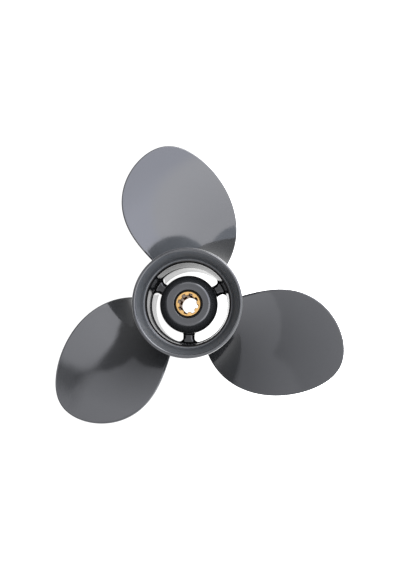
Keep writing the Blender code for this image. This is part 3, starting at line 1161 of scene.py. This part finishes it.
@dataclass
class SplinedSleeve:
    """The brass sleeve with eight grooves for the splines of the propeller shaft.

    The grooves stop at a round collar inside, which rounds off the light seen through the bore.
    Ahead of the collar the bore is plain and as wide as the grooves.
    """

    start: float = 0.015
    end: float = 0.0746
    outside: float = 0.0088
    groove_radius: float = 0.0072
    land_radius: float = 0.0059
    collar_radius: float = 0.00585
    collar_height: float = 0.040
    collar_length: float = 0.0015
    collar_slope: float = 0.0008
    count: int = 8
    first_groove_degrees: float = 30.0
    half_groove_degrees: float = 10.0
    half_flank_degrees: float = 2.0
    flank_margin_degrees: float = 0.4
    station_steps: int = 8
    outer_chamfer: float = 0.00035
    bore_chamfer: float = 0.00030
    chamfer_steps: int = 3

    def stations(self) -> Array:
        """Chooses where the bore is cut around a groove and the land beside it.

        Returns:
            Angles from the groove's middle, close together on the flanks.
        """
        low = self.half_groove_degrees - self.flank_margin_degrees
        high = low + 2 * self.half_flank_degrees + 2 * self.flank_margin_degrees
        period = 360 / self.count
        corners = (-low, low, high, period - high, period - low)
        runs = [
            np.linspace(start, end, self.station_steps, endpoint=False)
            for start, end in zip(corners, corners[1:])
        ]
        return np.radians(np.concatenate(runs))

    def bore_radius(self, angle: Array) -> Array:
        """Radius of the bore: groove and land radius, joined by a smooth step on each flank.

        Args:
            angle: angle from the middle of a groove, in radians.

        Returns:
            Radius in metres.
        """
        period = FULL_TURN / self.count
        away = np.degrees(np.abs((angle + period / 2) % period - period / 2))
        step = np.clip((away - self.half_groove_degrees) / (2 * self.half_flank_degrees), 0, 1)
        smooth = step * step * (3 - 2 * step)
        return self.groove_radius + (self.land_radius - self.groove_radius) * smooth

    def build(self, brass: Material) -> Object:
        """Builds and dresses the sleeve: loops of outer and bore radius joined up its length.

        Args:
            brass: its finish.

        Returns:
            The piece.
        """
        period = FULL_TURN / self.count
        local = (np.arange(self.count)[:, None] * period + self.stations()[None, :]).ravel()
        angle = local + math.radians(self.first_groove_degrees)
        bore = self.bore_radius(local)
        outer, inner = self.outer_chamfer, self.bore_chamfer
        cut = np.linspace(0, 1, self.chamfer_steps + 1)
        aft, front = self.collar_height, self.collar_height - self.collar_length
        loops = [(self.outside - outer * (1 - part), self.start + outer * part) for part in cut]
        loops += [(self.outside - outer * part, self.end - outer * (1 - part)) for part in cut]
        loops += [(bore + inner * (1 - part), self.end - inner * part) for part in cut]
        loops += [(bore, aft + self.collar_slope), (self.collar_radius, aft)]
        loops += [(self.collar_radius, front), (self.groove_radius, front - self.collar_slope)]
        loops += [
            (self.groove_radius + inner * part, self.start + inner * (1 - part)) for part in cut
        ]
        points = np.stack([round_axis(radius, angle, height) for radius, height in loops])
        patches = [(points, grid_quads(len(loops), len(angle), True, True))]
        nodes = ("spline_sleeve",)
        return build_piece("splined_sleeve_brass", patches, brass, nodes)


# Studio


def along_bearing(tree: NodeTree, place: NodeSocket, degrees: float) -> NodeSocket:
    """Socket of how far a place on the dome's map lies along a bearing from +X."""
    inputs = {0: place, 1: (*unit(math.radians(degrees)), 0.0)}
    return add_node(tree, "VectorMath", inputs, operation="DOT_PRODUCT").outputs["Value"]


@dataclass(frozen=True)
class Border:
    """A soft straight border on the dome's map: the light lies on the near side of the line.

    The line stands across a bearing in degrees from +X, at a reach in degrees from straight up.
    """

    bearing: float
    reach: float
    softness: float = 4.0


@dataclass(frozen=True)
class Oval:
    """A soft oval outline on the dome's map, in degrees, its softness a part of its size."""

    centre: Point
    radii: Point
    softness: float


@dataclass(frozen=True)
class Ramp:
    """A steady change of brightness on the dome's map, along a bearing or with the tilt."""

    start: float
    end: float
    start_value: float
    end_value: float
    bearing: float | None = None


@dataclass(frozen=True)
class LightField:
    """A soft box or lit wall on the studio's dome, as the propeller sees it.

    The dome's map has straight up in its middle, +X to the right and +Y upwards, and a direction's
    distance from the middle is its tilt in degrees. A field lies inside all its borders and, where
    it has one, inside its oval.
    """

    name: str
    brightness: Ramp
    borders: tuple[Border, ...] = ()
    oval: Oval | None = None
    tint: str = "#F7F8FF"

    def mask(self, tree: NodeTree, place: NodeSocket) -> NodeSocket:
        """Adds the nodes of the field's outline: the product of a soft step over each border.

        Args:
            tree: the world's node tree.
            place: socket of the place on the dome's map.

        Returns:
            Socket that is 1 inside and 0 outside.
        """
        add = partial(add_node, tree)
        steps = [
            (along_bearing(tree, place, border.bearing), border.reach, border.softness / 2)
            for border in self.borders
        ]
        if self.oval:
            scale = (*(1 / size for size in self.oval.radii), 1.0)
            moved = add("VectorMath", {0: place, 1: (*self.oval.centre, 0.0)}, operation="SUBTRACT")
            shrunk = add("VectorMath", {0: moved.outputs[0], 1: scale}, operation="MULTIPLY")
            away = add("VectorMath", {0: shrunk.outputs[0]}, operation="LENGTH")
            steps.append((away.outputs["Value"], 1.0, self.oval.softness))
        mask = 1.0
        for value, reach, half in steps:
            fall = {"From Min": reach + half, "From Max": reach - half}
            step = add("MapRange", {"Value": value} | fall, interpolation_type="SMOOTHSTEP")
            factors = {0: mask, 1: step.outputs["Result"]}
            mask = add("Math", factors, operation="MULTIPLY").outputs[0]
        return mask

    def add_over(
        self, tree: NodeTree, place: NodeSocket, tilt: NodeSocket, under: NodeSocket
    ) -> NodeSocket:
        """Lays the field over the light under it.

        Args:
            tree: the world's node tree.
            place: socket of the place on the dome's map.
            tilt: socket of the tilt in degrees.
            under: socket of the colour under the field.

        Returns:
            Socket of the colour with the field.
        """
        add = partial(add_node, tree)
        ramp = self.brightness
        if ramp.bearing is not None:
            tilt = along_bearing(tree, place, ramp.bearing)
        change = {"From Min": ramp.start, "From Max": ramp.end}
        change |= {"To Min": ramp.start_value, "To Max": ramp.end_value}
        level = add("MapRange", {"Value": tilt} | change).outputs["Result"]
        tint = {0: linear(self.tint)[:3], "Scale": level}
        light = add("VectorMath", tint, operation="SCALE").outputs[0]
        layers = {0: self.mask(tree, place), 6: under, 7: light}
        return add("Mix", layers, data_type="RGBA", label=self.name).outputs[2]


@dataclass
class Studio:
    """Camera, light table and a dome with soft boxes and lit walls.

    Camera and fields were fitted to this one photo, to what its blades mirror and where its
    outlines lie. They aren't the photographer's own.
    """

    camera_place: tuple[float, float, float] = (0.0328, -0.0319, 0.780)
    camera_target: tuple[float, float, float] = (0.0089, 0.0123, 0.090)
    lens: float = 63.3
    sensor_width: float = 36.0
    clip_start: float = 0.01
    table_radius: float = 1.5
    table_steps: int = 96
    room: str = "#1C1C1D"
    fields: tuple[LightField, ...] = (
        LightField("ceiling", Ramp(0, 30, 1.06, 1.3), oval=Oval((-6, -8), (36, 34), 0.35)),
        LightField(
            "back_wall", Ramp(-45, -8, 0.02, 0.26, 0), (Border(270, -22, 16),), tint="#FFFFFF"
        ),
        LightField(
            "lower_left_wall",
            Ramp(-35, 14, 0.75, 1.68, 330),
            (Border(98, 0, 8), Border(165, 53, 6), Border(0, 16, 14), Border(270, 84, 8)),
        ),
        LightField(
            "lower_left_gap",
            Ramp(-27, 5, 0.74, 1.38, 345),
            (Border(108.3, -15.6, 3), Border(230, 47.4, 2), Border(330, 20, 16)),
        ),
        LightField(
            "upper_left_wall",
            Ramp(28, 55, 1.62, 0.62, 95),
            (
                Border(20, -4.2, 3),
                Border(338.6, -30.8, 3),
                Border(115, 61.5, 3),
                Border(225, 24, 16),
            ),
        ),
        LightField(
            "upper_box",
            Ramp(36, 54, 1.85, 2.2, 90),
            (Border(156, 31.8, 3),),
            Oval((20, 38), (37.5, 30), 0.06),
        ),
        LightField(
            "low_right_wall",
            Ramp(0, 60, 7.0, 7.0),
            (Border(180, -71, 3), Border(0, 88, 4), Border(90, 45, 8), Border(270, 45, 8)),
        ),
        LightField(
            "strong_upper_right_box", Ramp(0, 60, 8.5, 8.5), oval=Oval((38, 42), (25, 18.5), 0.2)
        ),
        LightField(
            "far_right_wall",
            Ramp(-28, 22, 1.05, 0.6, 90),
            (Border(180, -50, 4), Border(90, 30, 12), Border(270, 50, 8)),
            tint="#E8F1FF",
        ),
        LightField(
            "lower_right_wall",
            Ramp(0, 60, 1.5, 1.5),
            (Border(90, -20, 4), Border(270, 70, 10), Border(180, -20, 12), Border(0, 60, 8)),
            tint="#E9F1FF",
        ),
        LightField(
            "right_box",
            Ramp(-25, 0, 3.0, 3.5, 90),
            (Border(180, -11, 8), Border(2, 58, 2.5), Border(255.7, 24.8, 2), Border(90, 24, 10)),
        ),
        LightField(
            "right_box_upper_half",
            Ramp(28, 38, 3.3, 3.75, 0),
            (Border(180, -11, 8), Border(4, 58, 2.5), Border(270, -6, 6), Border(90, 34, 14)),
            tint="#EDF0FF",
        ),
    )

    def build_camera(self) -> None:
        """Sets the camera almost straight above the outlet, with +Y up in the picture."""
        data = bpy.data.cameras.new("camera")
        data.lens = self.lens
        data.sensor_width = self.sensor_width
        data.clip_start = self.clip_start
        thing = in_scene("camera", data)
        place = Vector(self.camera_place)
        back = (place - Vector(self.camera_target)).normalized()
        right = Vector((0, 1, 0)).cross(back).normalized()
        matrix = Matrix((right, back.cross(right), back)).transposed().to_4x4()
        matrix.translation = place
        thing.matrix_world = matrix
        bpy.context.scene.camera = thing

    def build_table(self) -> None:
        """Lays the table: a flat disc, its rim points by the cosine and sine of the turn."""
        turn = np.linspace(0, FULL_TURN, self.table_steps, endpoint=False)
        points = round_axis(self.table_radius, turn, 0.0)
        mesh = bpy.data.meshes.new("light_table")
        mesh.from_pydata(points.tolist(), [], [list(range(len(turn)))])
        mesh.materials.append(LightTable().make())
        table = in_scene("light_table", mesh)

    def build_dome(self) -> None:
        """Lights the dome: each field over the dark room, and plain white to the camera.

        The tilt of a direction is the angle whose cosine is its height. Its place on the map is the
        tilt times the unit direction along the floor.
        """
        world = bpy.data.worlds.new("studio_dome")
        world.use_nodes = True
        tree = world.node_tree
        add = partial(add_node, tree)
        parts = add("SeparateXYZ", {0: add("TexCoord").outputs["Generated"]}).outputs
        angle = add("Math", {0: parts["Z"]}, operation="ARCCOSINE").outputs[0]
        tilt = add("Math", {0: angle}, operation="DEGREES").outputs[0]
        level = add("CombineXYZ", {0: parts["X"], 1: parts["Y"]}).outputs[0]
        unit = add("VectorMath", {0: level}, operation="NORMALIZE").outputs[0]
        place = add("VectorMath", {0: unit, "Scale": tilt}, operation="SCALE").outputs[0]
        light = add("RGB").outputs[0]
        light.default_value = linear(self.room)
        for light_field in self.fields:
            light = light_field.add_over(tree, place, tilt, light)
        seen = add("LightPath").outputs["Is Camera Ray"]
        shown = add("Mix", {0: seen, 6: light, 7: WHITE}, data_type="RGBA").outputs[2]
        feed(tree.nodes["Background"], {"Color": shown})
        bpy.context.scene.world = world

    def build(self) -> None:
        """Builds the whole studio, and shows its colours as they are."""
        self.build_camera()
        self.build_table()
        self.build_dome()
        bpy.context.scene.view_settings.view_transform = "Standard"
        bpy.context.scene.view_settings.look = "None"


def report(thing: Object) -> None:
    """Logs a piece's size in millimetres."""
    size = ", ".join(f"{MM_PER_M * part:.1f}" for part in thing.dimensions)
    LOG.info("%s measures %s mm", thing.name, size)


def main() -> None:
    """Builds the studio, the casting and what sits in its hub."""
    logging.basicConfig(level=logging.INFO, format="%(name)s: %(message)s")
    bpy.context.view_layer.update()
    Studio().build()
    paint = PaintOnDieCastAluminium().make()
    # The spray hardly reaches the passages, so their walls have no clear gloss coat.
    walls = PaintOnDieCastAluminium(
        name="thin_enamel_inside_the_hub",
        body_roughness=0.18,
        body_gloss=1.0,
        coat=0.0,
        peel_height_mm=0.001,
        wave_height_mm=0.01,
    ).make()
    # Painted light: a paler body colour brightens the flare as the light would, and its finish is
    # satin.
    flare = PaintOnDieCastAluminium(
        name="satin_enamel_painted_paler_in_the_flare",
        body="#36393B",
        body_light="#3D4042",
        body_roughness=0.50,
        body_gloss=1.0,
        coat=0.0,
    ).make()
    # Painted shade: a nearly black copy of the paint on the ribs and the throat's edge, as dark as
    # their shade in the hub.
    dark = PaintOnDieCastAluminium(
        name="painted_shade_enamel_on_the_ribs", body="#101011", body_light="#141415", body_gloss=0.25
    ).make()
    report(HubShell().build(paint, walls, flare, dark))
    report(InnerHub().build(paint))
    report(RibsAndPassages().build(dark, walls))
    for place in BladePlace:
        report(Blade(place).build(paint))
    report(DriveBush().build(MouldedRubber().make()))
    sleeve = SplinedSleeve()
    brass = MachinedBrass().make(bore_radius=sleeve.groove_radius, face_height=sleeve.end)
    report(sleeve.build(brass))
    bpy.context.view_layer.update()


if __name__ == "__main__":
    main()
